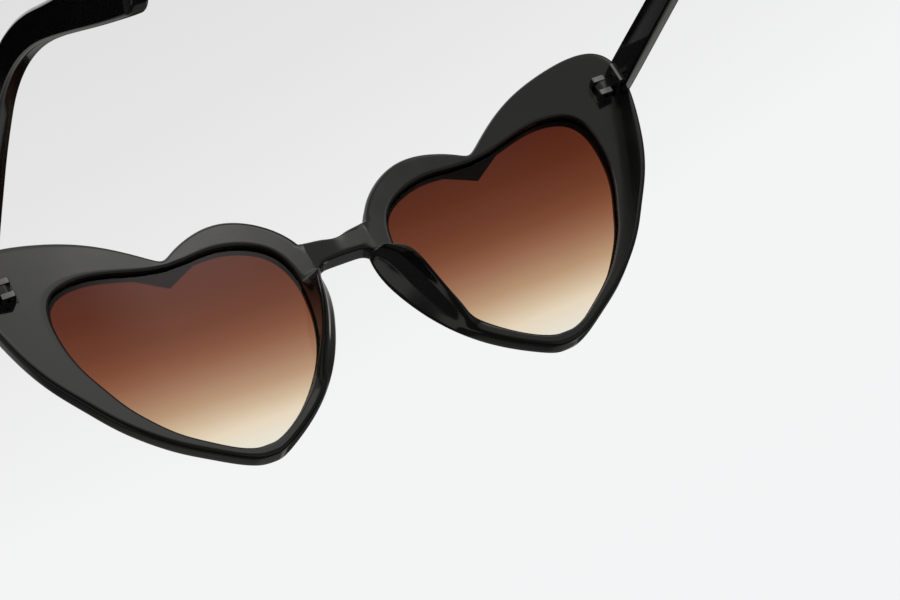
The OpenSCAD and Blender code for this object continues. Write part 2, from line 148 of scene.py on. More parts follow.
# Temples: a straight arm, a bend and an ear end
TEMPLE_L = 100.0
EAR_L = 56.0
TIP_IN = 7.0
TEMPLE_DROP = 10.5
TEMPLE_INSET = 0.9
TEMPLE_Z = FRONT_H - TEMPLE_DROP
TEMPLE_SLOPE = math.radians(9.0)
TEMPLE_H = 6.3
TEMPLE_MID_H = 5.6
TIP_H = 7.6
TEMPLE_T = 2.9
TEMPLE_R = 0.6
TEMPLE_END_R = 0.35
BEND_L = 20.0
TEMPLE_GAP = 0.15
TEMPLE_X = FRONT_W / 2 - TEMPLE_INSET - TEMPLE_T / 2
TEMPLE_MID_SHARE = 0.45
EAR_H_SHARE = 0.72
CURVE_START = 0.4
REST_CUT = 0.1
TIP_TURN = math.radians(86)

# Stations of the temples: where the arm's two runs begin, as shares of its
# length, and how many steps each run, bend, end and corner has. ROUND_SHARES
# are inset and depth of the rounded front end
ARM_START = 0.02
ARM_TURNED = 0.13
ARM_ON = 0.16
ARM_STEPS = (6, 26)
BEND_STEPS = 28
EAR_STEPS = 18
TIP_STEPS = 16
RING_STEPS = 6
ROUND_SHARES = ((1, 0), (0.5, 0.134), (0.134, 0.5), (0, 1))

# Hinges: HINGE_OFF is from the axis to the temple, HINGE_BACK to the front's back face
HINGE_OFF = 3.0
HINGE_BACK = 1.4
HINGE_DROP = 0.65
HINGE_X = TEMPLE_X - TEMPLE_T / 2 - HINGE_OFF
HINGE_Z = TEMPLE_Z - HINGE_DROP
LUG_W = 3.0
LUG_H = 1.25
LUG_R = 0.3
LUG_BEVEL = 0.09
LUG_REACH = 1.35
KNUCKLE_R = 1.15
KNUCKLE_H = 1.95
KNUCKLE_GAP = 0.05
KNUCKLE_STEPS = 28
STACK_H = KNUCKLE_H + 2 * LUG_H + 2 * KNUCKLE_GAP
LUG_RISE = (KNUCKLE_H + LUG_H) / 2 + KNUCKLE_GAP
SEAT_W = 4.0
SEAT_T = 0.6
SEAT_R = 0.12
SEAT_SINK = 0.45
LEAF_T = 1.0
LEAF_R = 0.2
LEAF_BEVEL = 0.08
LEAF_SINK = 0.35
LEAF_L = 5.1
LEAF_FRONT = 0.6
CORNER_STEPS = 5
BEVEL_STEPS = 3
BEVEL_ANGLE = 30

# Screws: HEAD_DOME is how far in from the head's edge, and how high as a share of HEAD_H
SCREW_R = 0.55
SCREW_CHAMFER = 0.1
SCREW_SIDES = 48
HEAD_R = 0.95
HEAD_H = 0.4
HEAD_CHAMFER = 0.04
HEAD_DOME = [(0, 0.55), (0.05, 0.75), (0.16, 0.88), (0.5 * HEAD_R, 0.97)]
SLOT_W = 0.3
SLOT_H = 0.2
SLOT_R = 0.01
SLOT_OVER = 0.5

# The photograph's camera
CAMERA_PLACE = (0.15372, 0.33248, -0.18733)
CAMERA_TURN = (118.3458, 27.0568, 171.2933)
CAMERA_LENS = 96.896
CAMERA_SENSOR = 36
CAMERA_NEAR = 0.01

# Plastics: darkest tone, least and most roughness, orange peel, dust
GLOSS_BLACK = ((0.0028, 0.0026, 0.0025), (0.07, 0.15), 0.12, 0.12)
TEMPLE_BLACK = ((0.0024, 0.0024, 0.0025), (0.05, 0.12), 0.12, 0.10)
HINGE_BLACK = ((0.0035, 0.0034, 0.0034), (0.14, 0.24), 0.2, 0.0)
PLASTIC_IOR = 1.5
PEEL_DEPTH = 0.00002
TONE_RISE = 1.35
# Noise in the plastics: scale, detail, roughness, and the part of its range that is used
SMEAR_NOISE = (60, 4, 0.6)
SMEAR_SPAN = (0.35, 0.7)
DUST_NOISE = (2600, 2, 0.5)
DUST_SPAN = (0.70, 0.76)
TONE_NOISE = (25, 3, 0.5)
TONE_SPAN = (0.35, 0.65)
PEEL_NOISE = (420, 3, 0.55)
# The bare end faces of the lugs and leaves, painted paler to this depth: a painted highlight for the light
# they reflect
LUG_END_HIGHLIGHT = (0.17, 0.165, 0.16)
LEAF_END_HIGHLIGHT = (0.26, 0.255, 0.25)
END_HIGHLIGHT_DEPTH = 0.02
END_HIGHLIGHT_FADE = 0.00004

# Screws' steel
STEEL_TONES = [(0.4, (0.035, 0.034, 0.033)), (0.6, (0.07, 0.068, 0.065))]
STEEL_ROUGH = (0.25, 0.45)
STEEL_TONE_NOISE = (900, 3)
STEEL_ROUGH_NOISE = (1500, 3)
STEEL_SPAN = (0.3, 0.7)

# Tint of the lens against height, from its lower to its upper edge, in metres
LENS_LOW = 0.002
LENS_HIGH = 0.050
LENS_TINT = [
    (0.00, (0.90, 0.87, 0.77)), (0.13, (0.88, 0.745, 0.56)), (0.21, (0.70, 0.52, 0.345)),
    (0.29, (0.535, 0.33, 0.195)), (0.375, (0.405, 0.21, 0.12)), (0.46, (0.31, 0.125, 0.065)),
    (0.54, (0.235, 0.078, 0.036)), (0.63, (0.18, 0.052, 0.024)), (0.80, (0.125, 0.029, 0.012)),
    (1.00, (0.090, 0.018, 0.009))]
LENS_CLOUD = 0.0012
LENS_NOISE = (45, 2)
LENS_IOR = 1.3
# Painted reflection across the lenses, from the right outer end to the left one: strongest on the left lens
LENS_END = 0.054
LENS_PAINTED_REFLECTION = [
    (0.0, (0.12, 0.09, 0.09)), (0.13, (0.5, 0.45, 0.45)), (0.444, (0.5, 0.45, 0.45)),
    (0.556, (0.9, 0.88, 0.88)), (0.87, (0.86, 0.84, 0.84)), (1.0, (0.3, 0.28, 0.28))]

# Edges steeper than this many degrees stay sharp, by material slot
SHARP_ANGLE = {"front_frame": 50, "temple": 50, "lens": 40, "hinge": 40, "screw": 35}

# The wall behind: the floor's grey at the horizon, then pale, then greyer again
BACKDROP_TOP = 0.62
BACKDROP = [(0.0, (0.597, 0.600, 0.602)), (0.32, (0.90, 0.91, 0.92)), (0.66, (0.90, 0.905, 0.905)),
            (0.85, (0.78, 0.785, 0.78)), (1.0, (0.72, 0.725, 0.72))]
# What the gloss sees: patches of light around the object, and dark ones below
# zero. Each has its bearing from +Y towards -X and its height in degrees, its
# inner and outer angle, and how much brighter it is than the rest
STUDIO_COLOUR = (1.0, 0.985, 0.965, 1)
STUDIO_BASE = 0.06
STUDIO = [((23.5, 31), 1, 4, 1.4),
          ((14, 26), 8, 30, 0.06),
          ((0, 37), 14, 50, 0.42),
          ((27, -43), 14, 50, 0.26),
          ((-171, 21), 6, 26, 0.39),
          ((-153, 40), 7, 12, -0.4),
          ((-172, -11), 6, 26, 0.22),
          ((141, -27), 6, 13, 0.9),
          ((150, 23), 3, 8, 0.35),
          ((154, -11), 3, 7, 0.5),
          ((165, -29), 8, 20, 0.2),
          ((-69, 29), 14, 35, 0.29),
          ((69, 21), 14, 50, 0.15)]
# The window is one more patch, cut off at a bearing
WINDOW = ((29, 31), 7, 12.5, 0.68)
WINDOW_EDGE = (19.6, 0.7)
# One upright strip of light: its bearings and heights, each with the softness
# of its edges, and how bright it is
STRIP_BEARINGS = (-112.5, -92, 1.0)
STRIP_HEIGHTS = (-36, 30, 5.0)
STRIP_LEVEL = 0.5
# What dull surfaces see
PLAIN_LEVEL = 0.8

# Floor and lamp, in metres and watts
FLOOR_REACH = 1.6
FLOOR_COLOUR = (0.86, 0.865, 0.87, 1)
LAMP_PLACE = (0.12, -0.1, 0.95)
LAMP_TARGET = (0, 0, 0.02)
LAMP_SIZE = 1.5
LAMP_POWER = 5.5


# Shapes

def wrap_y(x):
    return WRAP_BACK * (2 * x / FRONT_W) ** 2


def ease(f):
    return f * f * (3 - 2 * f)


def slope_line(a):
    return np.array([math.cos(a), -math.sin(a)])


def arm_start():
    return np.array([wrap_y(TEMPLE_X) + TEMPLE_GAP, TEMPLE_Z])


def tip_centre():
    corner = arm_start() + TEMPLE_L * slope_line(TEMPLE_SLOPE)
    z = TIP_H / 2 - REST_CUT
    return np.array([corner[0] + math.sqrt(EAR_L ** 2 - (corner[1] - z) ** 2), z])


TEMPLE_END_Y = tip_centre()[0] + TIP_H / 2
FRONT_Y = -(TEMPLE_END_Y - FRONT_T) / 2
HINGE_Y = FRONT_Y + wrap_y(HINGE_X) + HINGE_BACK


def rim_curve():
    """Direction, reach and width at each station of the closed rim, and the first bridge station."""
    rows = np.array(RIM_ROWS, float)
    n = len(rows)
    even = 360 / n
    level = rows - np.outer(np.arange(n) * even, (1, 0, 0))
    weights = (4 * np.eye(n) + np.roll(np.eye(n), 1, 0) + np.roll(np.eye(n), -1, 0)) / 6
    control = np.linalg.solve(weights, level)
    out = []
    first = 0
    for i in range(n):
        if i == BRIDGE_ROW:
            first = len(out)
        steps = RIM_STEPS[i] * RIM_FINE
        for k in range(steps):
            u = k / steps
            basis = ((1 - u) ** 3, 3 * u ** 3 - 6 * u ** 2 + 4,
                     1 + 3 * u + 3 * u ** 2 - 3 * u ** 3, u ** 3)
            point = sum(b * control[(i + j - 1) % n] for j, b in enumerate(basis)) / 6
            out.append(point + ((i + u) * even, 0, 0))
    return np.array(out), first


def outer_point(row):
    a = math.radians(row[0])
    z = HEART_Z + row[1] * FRONT_H * math.sin(a)
    return np.array([HEART_X + row[1] * HEART_W * math.cos(a),
                     (z + math.sqrt(z * z + TIP_SOFT * TIP_SOFT)) / 2])


def inward(p):
    d = np.array([HEART_X, HEART_Z]) - p
    return d / np.linalg.norm(d)


def arc(cx, cy, r, start, turn, n):
    """Points along an arc, without its first one."""
    return [(cx + r * math.cos(start + turn * k / n), cy + r * math.sin(start + turn * k / n))
            for k in range(1, n + 1)]


def line(a, b, n):
    """Points along a line, without its first one."""
    return [(a[0] + (b[0] - a[0]) * k / n, a[1] + (b[1] - a[1]) * k / n) for k in range(1, n + 1)]


def plain_back(w):
    """Outer wall, back face and opening edge of a plain section, from the front corner on."""
    m = SECTION_FINE
    points = line((0, EDGE_R - FRONT_T), (0, -EDGE_R), m)
    points += arc(EDGE_R, -EDGE_R, EDGE_R, math.pi, -QUARTER, 2 * m)
    points += line((EDGE_R, 0), (w - OPENING_R, 0), 4 * m)
    points += arc(w - OPENING_R, -OPENING_R, OPENING_R, QUARTER, -QUARTER, 2 * m)
    return np.array(points)


def smooth_through(points, n):
    """Catmull-Rom curve through the points between the first and the last, n steps for each."""
    p = np.array(points, float)
    out = []
    for i in range(1, len(p) - 2):
        for k in range(1, n + 1):
            u = k / n
            out.append(0.5 * (2 * p[i] + (p[i + 1] - p[i - 1]) * u
                              + (2 * p[i - 1] - 5 * p[i] + 4 * p[i + 1] - p[i + 2]) * u ** 2
                              + (3 * p[i] - p[i - 1] - 3 * p[i + 1] + p[i + 2]) * u ** 3))
    return out


def pad_back(w, ridge, rise, crease):
    """The same for a section through a nose pad: the side towards the nose, ridge and inner side."""
    m = SECTION_FINE
    foot = np.array([0, EDGE_R - FRONT_T])
    side = np.array([ridge, rise]) - foot
    out = np.array([-side[1], side[0]]) / np.linalg.norm(side)
    bends = [(0, 0), (CREASE_SHARE, -PAD_CREASE * crease), (BULGE_SHARE, PAD_BULGE), (1, 0)]

    def on_side(f):
        return foot + side * f + out * np.interp(f, *zip(*bends))
    shares = list(np.linspace(0, CREASE_SHARE, 2 * m + 1)[1:])
    shares += list(np.linspace(CREASE_SHARE, 1, 3 * m + 1)[1:])
    points = [on_side(f) for f in shares]
    wall = rise - PAD_R
    corner = [points[-1 - m], points[-1],
              (min(ridge + PAD_R * SHOULDER_OUT, w), rise - PAD_R * SHOULDER_DOWN),
              (min((ridge + PAD_R + w) / 2, w), wall - (wall + OPENING_R) / 4),
              (w, wall / 3), (w, -OPENING_R), (w, -BACK_WALL)]
    return np.array(points + smooth_through(corner, m))


def front_part(w, reach):
    """Opening wall, groove, front lip and front face, back to the front corner."""
    m = SECTION_FINE
    lip = w + reach
    points = line((w, -OPENING_R), (w, -BACK_WALL), m)
    points += line((w, -BACK_WALL), (w - GROOVE_D, -BACK_WALL), m)
    points += line((w - GROOVE_D, -BACK_WALL), (w - GROOVE_D, -GROOVE_FRONT), m)
    points += line((w - GROOVE_D, -GROOVE_FRONT), (lip, -GROOVE_FRONT), m)
    points += line((lip, -GROOVE_FRONT), (lip, LIP_R - FRONT_T), m)
    points += arc(lip - LIP_R, LIP_R - FRONT_T, LIP_R, 0, -QUARTER, m)
    points += line((lip - LIP_R, -FRONT_T), (EDGE_R, -FRONT_T), m)
    points += arc(EDGE_R, EDGE_R - FRONT_T, EDGE_R, -QUARTER, -QUARTER, 2 * m)
    return np.array(points)


def section(row, p):
    """Section of the rim at a station: distance inwards from the outer edge, and depth."""
    w = row[2] * RIM_W
    middle = p + inward(p) * w / 2
    on_nose_side = 90 < row[0] < 270
    u = min(max((PAD_TOP - middle[1]) / (PAD_TOP - PAD_BOTTOM), 0), 1) if on_nose_side else 0
    rise = PAD_H * math.sin(math.pi * u ** PAD_SKEW)
    ridge = (w - PAD_R) * (1 - math.exp(-u / RIDGE_START))
    crease = 1 - ease(min(u / CREASE_END, 1))
    f = ease(min(rise / PAD_BLEND, 1))
    back = plain_back(w)
    if f > 0:
        back = back + (pad_back(w, ridge, rise, crease) - back) * f
    x = (p + inward(p) * w)[0]
    notch = NOTCH_H * max(0, 1 - abs(x - HEART_X) * 2 / NOTCH_W) if row[0] < 180 else 0
    return np.concatenate([back, front_part(w, LIP_W + notch)])


def quad_grid(index, count_a, count_b):
    return [(index(a, b), index(a, b + 1), index(a + 1, b + 1), index(a + 1, b))
            for a in range(count_a) for b in range(count_b)]


def turned(faces):
    return [tuple(reversed(f)) for f in faces]


def moved(faces, by):
    return [tuple(i + by for i in f) for f in faces]


def mirrored(points):
    return points * np.array([-1, 1, 1])


def without_spare(verts, faces):
    """The same mesh without the points that no face uses."""
    used = sorted({i for f in faces for i in f})
    number = {old: new for new, old in enumerate(used)}
    return verts[used], [tuple(number[i] for i in f) for f in faces]


def neighbour_sums(verts, edges):
    sums = np.zeros_like(verts)
    np.add.at(sums, edges[:, 0], verts[edges[:, 1]])
    np.add.at(sums, edges[:, 1], verts[edges[:, 0]])
    return sums


def soften(verts, faces, weight, passes):
    """Moves each vertex halfway to the mean of its neighbours, by its weight, so creases become fillets."""
    edges = set()
    for f in faces:
        for a, b in zip(f, f[1:] + f[:1]):
            edges.add((min(a, b), max(a, b)))
    edges = np.array(sorted(edges))
    count = np.bincount(edges.ravel(), minlength=len(verts))[:, None]
    for _ in range(passes):
        verts = verts + weight[:, None] * (neighbour_sums(verts, edges) / count - verts) * 0.5
    return verts


def distances(verts, points):
    """How far each vertex is from the nearest of the points."""
    tree = KDTree(len(points))
    for i, p in enumerate(points):
        tree.insert(p, i)
    tree.balance()
    return np.array([tree.find(v)[2] for v in verts])


def soften_front(verts, faces, border):
    """Fillets along the border of the bridge and at the pads."""
    def around(height, fade, reach):
        return np.exp(-((verts[:, 2] - height) / fade) ** 2) * (np.abs(verts[:, 0]) < reach) * behind
    near = distances(verts, border)
    behind = np.clip((verts[:, 1] - wrap_y(verts[:, 0]) + WALL_FADE) / WALL_FADE, 0, 1)
    at_bridge = np.exp(-(near / FILLET) ** 2) * np.maximum(behind, FILLET_LEAST)
    at_top = around(PAD_TOP, PAD_TOP_FADE, PAD_TOP_REACH)
    verts = soften(verts, faces, np.maximum(at_bridge, at_top), FILLET_PASSES)
    at_end = around(PAD_BOTTOM + PAD_END_RISE, PAD_END_FADE, HEART_X)
    return soften(verts, faces, at_end, PAD_END_PASSES)


def rim_rings():
    """The section of the left rim at each station, and the first station under the bridge."""
    rows, first = rim_curve()
    rings = []
    for row in rows:
        p = outer_point(row)
        s = section(row, p)
        q = p + inward(p) * s[:, :1]
        rings.append(np.stack([q[:, 0], wrap_y(q[:, 0]) + s[:, 1], q[:, 1]], 1))
    return rings, first


def rim_faces(n_rings, size, first, last, front, back):
    """Faces of the left rim without the patch under the bridge, and the border of that patch."""
    depth = (back - front) % size

    def index(n, k):
        return (n % n_rings) * size + k % size

    def under_bridge(n, k):
        return first <= n < last and (k - front) % size < depth
    faces = [(index(n, k), index(n, k + 1), index(n + 1, k + 1), index(n + 1, k))
             for n in range(n_rings) for k in range(size) if not under_bridge(n, k)]
    border = ([index(first, front + k) for k in range(depth)]
              + [index(n, back) for n in range(first, last)]
              + [index(last, back - k) for k in range(depth)]
              + [index(n, front) for n in range(last, first, -1)])
    return faces, border


def squared(v):
    """Flattens a sine or cosine, so that a circle becomes nearly a square."""
    return np.sign(v) * np.abs(v) ** BRIDGE_SQUARE


def bridge_points(start, steps):
    """Rows of points between the borders in both rims, from the left border on."""
    depth = len(start) // 2 - steps
    turns = []
    for corner, count in ((3, depth), (1, steps), (-1, depth), (-3, steps)):
        turns += [math.radians((corner - 2 * k / count) * 45) for k in range(count)]
    turns = np.array(turns)
    mid_y = BRIDGE_T / 2 - FRONT_T + squared(np.cos(turns)) * BRIDGE_T / 2
    mid_z = BRIDGE_Z + squared(np.sin(turns)) * BRIDGE_H / 2
    flare = UNDER_FLARE + (TOP_FLARE - UNDER_FLARE) * (1 + np.sin(turns)) / 2
    rows = []
    for j in range(1, BRIDGE_ROWS):
        side = math.cos(math.pi * j / BRIDGE_ROWS)
        f = 1 - abs(side) ** flare
        x = start[:, 0] * side
        dip = DIP_H * np.maximum(0, np.sin(turns)) * np.exp(-(x / DIP_W) ** 2)
        arch = ARCH_H * np.maximum(0, squared(np.cos(turns))) * np.maximum(0, 1 - (x / ARCH_W) ** 2)
        rows.append(np.stack([x, start[:, 1] + (mid_y - start[:, 1]) * f + arch,
                              start[:, 2] + (mid_z - start[:, 2]) * f - dip], 1))
    return rows


def front_mesh():
    """Both rims with the pads, joined by the bridge, as one closed mesh."""
    rings, first = rim_rings()
    size = len(rings[0])
    steps = BRIDGE_STEPS * RIM_FINE
    # The first point of a ring is the first one past the front corner
    front = size - 2 * SECTION_FINE - 1
    back = 3 * SECTION_FINE - 1
    half, loop = rim_faces(len(rings), size, first, first + steps, front, back)
    rim = np.concatenate(rings)
    start = rim[loop]
    n_half, n_loop = len(rim), len(loop)

    def bridge_index(j, i):
        if j == 0:
            return loop[i % n_loop]
        if j == BRIDGE_ROWS:
            return n_half + loop[i % n_loop]
        return 2 * n_half + (j - 1) * n_loop + i % n_loop
    faces = half + turned(moved(half, n_half)) + quad_grid(bridge_index, BRIDGE_ROWS, n_loop)
    verts = np.concatenate([rim, mirrored(rim)] + bridge_points(start, steps))
    verts, faces = without_spare(verts, faces)
    border = np.concatenate([start, mirrored(start)])
    return soften_front(verts, faces, border), faces


def lens_mesh():
    """A sheet of even thickness, whose edge lies in the groove."""
    rows, _ = rim_curve()
    edge = []
    for row in rows:
        p = outer_point(row)
        edge.append(p + inward(p) * (row[2] * RIM_W - GROOVE_D + LENS_GAP))
    centre = np.array([HEART_X, HEART_Z])
    q = np.array([centre] + [centre + (e - centre) * r / LENS_RINGS
                             for r in range(1, LENS_RINGS + 1) for e in edge])
    n, size, last = len(edge), len(q), LENS_RINGS - 1

    def side(depth):
        return np.stack([q[:, 0], wrap_y(q[:, 0]) - depth, q[:, 1]], 1)

    def index(r, k):
        return 1 + r * n + k % n
    face = [(0, index(0, k), index(0, k + 1)) for k in range(n)] + quad_grid(index, last, n)
    wall = [(index(last, k), index(last, k + 1), size + index(last, k + 1), size + index(last, k))
            for k in range(n)]
    verts = np.concatenate([side(BACK_WALL + LENS_GAP), side(GROOVE_FRONT - LENS_GAP)])
    # Each side's faces look away from the other side
    return verts, turned(face) + moved(face, size) + wall


def ring_outline(t, h, inset):
    """Outline of a temple's section, with rounded corners."""
    r = min(TEMPLE_R, h / 2 - inset, t / 2 - inset)
    half_t, half_h = t / 2 - inset, h / 2 - inset
    turns = [QUARTER * k / RING_STEPS for k in range(RING_STEPS + 1)]
    out = []
    for sx, sz, order in ((1, 1, 1), (-1, 1, -1), (-1, -1, 1), (1, -1, -1)):
        for a in turns[::order]:
            out.append((sx * (half_t - r + r * math.cos(a)), sz * (half_h - r + r * math.sin(a))))
    return out


def temple_stations():
    """Middle, slope, height and thickness of the temple at each station, from the front to the tip."""
    start, tip = arm_start(), tip_centre()
    corner = start + TEMPLE_L * slope_line(TEMPLE_SLOPE)
    ear = tip - corner
    ear_slope = -math.atan2(ear[1], ear[0])
    ear_h = EAR_H_SHARE * TIP_H
    bend_share = BEND_L / EAR_L
    out = []
    first_run = np.linspace(ARM_START, ARM_TURNED, ARM_STEPS[0])
    second_run = np.linspace(ARM_ON, 1 - BEND_L / TEMPLE_L, ARM_STEPS[1])[:-1]
    for f in np.concatenate([first_run, second_run]):
        h = TEMPLE_H + (TEMPLE_MID_H - TEMPLE_H) * ease(min(f / TEMPLE_MID_SHARE, 1))
        out.append((start + f * TEMPLE_L * slope_line(TEMPLE_SLOPE),
                    TEMPLE_SLOPE * min(1, f / ARM_TURNED), h, TEMPLE_T))
    a = corner - BEND_L * slope_line(TEMPLE_SLOPE)
    b = corner + BEND_L * slope_line(ear_slope)
    for f in [k / BEND_STEPS for k in range(BEND_STEPS + 1)]:
        out.append(((1 - f) ** 2 * a + 2 * f * (1 - f) * corner + f * f * b,
                    TEMPLE_SLOPE + (ear_slope - TEMPLE_SLOPE) * f,
                    TEMPLE_MID_H + (ear_h - TEMPLE_MID_H) * ease(f), TEMPLE_T))
    for f in np.linspace(bend_share, 1, EAR_STEPS)[1:-1]:
        g = (f - bend_share) / (1 - bend_share)
        out.append((corner + f * ear, ear_slope, ear_h + (TIP_H - ear_h) * ease(g), TEMPLE_T))
    for a in [TIP_TURN * k / TIP_STEPS for k in range(TIP_STEPS + 1)]:
        out.append((tip + math.sin(a) * TIP_H / 2 * slope_line(ear_slope), ear_slope,
                    math.cos(a) * TIP_H, TEMPLE_T * math.cos(a) ** (1 / 3)))
    return out


def temple_mesh():
    """A closed bar through the stations; its front end follows the back of the front."""
    rings = []
    for inset, back in ROUND_SHARES:
        back = back * TEMPLE_END_R
        rings.append([(TEMPLE_X + q[0], wrap_y(TEMPLE_X + q[0]) + TEMPLE_GAP + back,
                       TEMPLE_Z + q[1] - back * math.tan(TEMPLE_SLOPE))
                      for q in ring_outline(TEMPLE_T, TEMPLE_H, inset * TEMPLE_END_R)])
    for p, slope, h, t in temple_stations():
        ring = []
        for q in ring_outline(t, h, 0):
            y = p[0] + q[1] * math.sin(slope)
            f = max(y / TEMPLE_END_Y - CURVE_START, 0) / (1 - CURVE_START)
            ring.append((TEMPLE_X + q[0] - TIP_IN * f ** 2, y, max(p[1] + q[1] * math.cos(slope), 0)))
        rings.append(ring)
    size, last = len(rings[0]), len(rings) - 1

    def index(n, k):
        return n * size + k % size
    faces = [tuple(range(size))] + quad_grid(index, last, size)
    faces.append(tuple(index(last, k) for k in reversed(range(size))))
    return np.array([p for ring in rings for p in ring]), faces


def prism(outline, low, high):
    """A closed upright prism over a plan outline that runs anticlockwise."""
    n = len(outline)
    verts = [(x, y, low) for x, y in outline] + [(x, y, high) for x, y in outline]
    faces = [tuple(reversed(range(n))), tuple(range(n, 2 * n))]
    faces += [(k, (k + 1) % n, n + (k + 1) % n, n + k) for k in range(n)]
    return np.array(verts, float), faces


def rounded_box_outline(x0, y0, x1, y1, r, corners=(1, 1, 1, 1)):
    """Plan outline of a box, anticlockwise from its near left corner; corners says which are rounded."""
    out = []
    places = ((x0, y0, 180), (x1, y0, 270), (x1, y1, 0), (x0, y1, 90))
    for (x, y, start), use in zip(places, corners):
        if not use:
            out.append((x, y))
            continue
        cx = x + r * (1 if x == x0 else -1)
        cy = y + r * (1 if y == y0 else -1)
        for k in range(CORNER_STEPS + 1):
            a = math.radians(start + 90 * k / CORNER_STEPS)
            out.append((cx + r * math.cos(a), cy + r * math.sin(a)))
    return out


def rotated(points, degrees):
    a = math.radians(degrees)
    return [(x * math.cos(a) - y * math.sin(a), x * math.sin(a) + y * math.cos(a)) for x, y in points]


def joined(meshes):
    verts, faces, count = [], [], 0
    for v, f in meshes:
        verts.append(v)
        faces += moved(f, count)
        count += len(v)
    return np.concatenate(verts), faces


def at_hinge(mesh):
    verts, faces = mesh
    return verts + np.array([HINGE_X, HINGE_Y - FRONT_Y, HINGE_Z]), faces


def front_hinge_mesh():
    """Two lugs that stand on a seat, which is let into the back of the front."""
    parts = []
    lug = rounded_box_outline(-LUG_W / 2, -HINGE_BACK, LUG_W / 2, LUG_REACH, LUG_R, (0, 0, 1, 1))
    for level in (-1, 1):
        low = level * LUG_RISE - LUG_H / 2
        parts.append(prism(lug, low, low + LUG_H))
    turn = math.degrees(math.atan(8 * WRAP_BACK * HINGE_X / FRONT_W ** 2))
    seat = rounded_box_outline(-SEAT_W / 2, -SEAT_SINK, SEAT_W / 2, SEAT_T - SEAT_SINK, SEAT_R)
    seat = [(x, y - HINGE_BACK) for x, y in rotated(seat, turn)]
    parts.append(prism(seat, -STACK_H / 2, STACK_H / 2))
    return at_hinge(joined(parts))


def temple_hinge_mesh():
    """The knuckle with its arm, and the leaf that is let into the temple."""
    turn = math.asin(LEAF_FRONT / KNUCKLE_R) - math.pi * 1.5
    outline = [(HINGE_OFF, -LEAF_FRONT), (HINGE_OFF, KNUCKLE_R)]
    turns = [QUARTER - turn * k / KNUCKLE_STEPS for k in range(KNUCKLE_STEPS + 1)]
    outline += [(KNUCKLE_R * math.cos(a), KNUCKLE_R * math.sin(a)) for a in turns]
    arm = prism(outline, -KNUCKLE_H / 2, KNUCKLE_H / 2)
    x1 = HINGE_OFF + LEAF_SINK
    leaf = rounded_box_outline(x1 - LEAF_T, -LEAF_FRONT, x1, LEAF_L - LEAF_FRONT, LEAF_R)
    return at_hinge(joined([arm, prism(leaf, -STACK_H / 2, STACK_H / 2)]))


def screw_mesh():
    """A pin with a slightly domed head; its slot is cut when the piece is made."""
    top = STACK_H / 2
    profile = [(SCREW_R - SCREW_CHAMFER, -top), (SCREW_R, -top + SCREW_CHAMFER), (SCREW_R, top),
               (HEAD_R - HEAD_CHAMFER, top), (HEAD_R, top + HEAD_CHAMFER)]
    profile += [(HEAD_R - inset, top + HEAD_H * share) for inset, share in HEAD_DOME]
    verts = [(0, 0, -top)]
    turns = [2 * math.pi * k / SCREW_SIDES for k in range(SCREW_SIDES)]
    for r, z in profile:
        verts += [(r * math.cos(a), r * math.sin(a), z) for a in turns]
    verts.append((0, 0, top + HEAD_H))
    rows, last = len(profile) - 1, len(verts) - 1

    def index(n, k):
        return 1 + n * SCREW_SIDES + k % SCREW_SIDES
    faces = [(0, index(0, k + 1), index(0, k)) for k in range(SCREW_SIDES)]
    faces += [(index(n, k), index(n, k + 1), index(n + 1, k + 1), index(n + 1, k))
              for n in range(rows) for k in range(SCREW_SIDES)]
    faces += [(last, index(rows, k), index(rows, k + 1)) for k in range(SCREW_SIDES)]
    return at_hinge((np.array(verts, float), faces))


# Pieces

def make_piece(name, mesh, side=1):
    """A mesh object from a left hand shape, mirrored for the right side."""
    verts, faces = mesh
    if side < 0:
        verts, faces = mirrored(verts), turned(faces)
    verts = (verts + np.array([0, FRONT_Y, 0])) * MM
    data = bpy.data.meshes.new(name)
    data.from_pydata([tuple(v) for v in verts], [], faces)
    data.validate()
    obj = bpy.data.objects.new(name, data)
    bpy.context.scene.collection.objects.link(obj)
    return obj


def outward(obj):
    """Turns all faces outwards."""
    bm = bmesh.new()
    bm.from_mesh(obj.data)
    bmesh.ops.recalc_face_normals(bm, faces=bm.faces)
    bm.to_mesh(obj.data)
    bm.free()


def shade(obj, degrees):
    """Smooth shading that stays sharp at edges steeper than the given angle."""
    bm = bmesh.new()
    bm.from_mesh(obj.data)
    for f in bm.faces:
        f.smooth = True
    for e in bm.edges:
        e.smooth = len(e.link_faces) == 2 and e.calc_face_angle(0) < math.radians(degrees)
    bm.to_mesh(obj.data)
    bm.free()


def bevel(obj, width):
    mod = obj.modifiers.new("edge_rounding", "BEVEL")
    mod.width = width * MM
    mod.segments = BEVEL_STEPS
    mod.limit_method = "ANGLE"
    mod.angle_limit = math.radians(BEVEL_ANGLE)


def cut_slot(screw, side):
    """Cuts the slot into the head and makes it part of the mesh."""
    z = STACK_H / 2 + HEAD_H
    reach = HEAD_R + SLOT_OVER
    outline = rounded_box_outline(-reach, -SLOT_W / 2, reach, SLOT_W / 2, SLOT_R)
    cutter = make_piece("slot_cutter", at_hinge(prism(outline, z - SLOT_H, z + SLOT_OVER)), side)
    mod = screw.modifiers.new("slot", "BOOLEAN")
    mod.object = cutter
    mod.operation = "DIFFERENCE"
    mod.solver = "EXACT"
    bpy.context.view_layer.update()
    graph = bpy.context.evaluated_depsgraph_get()
    data = bpy.data.meshes.new_from_object(screw.evaluated_get(graph))
    screw.modifiers.clear()
    screw.data = data
    bpy.data.objects.remove(cutter)


# Materials

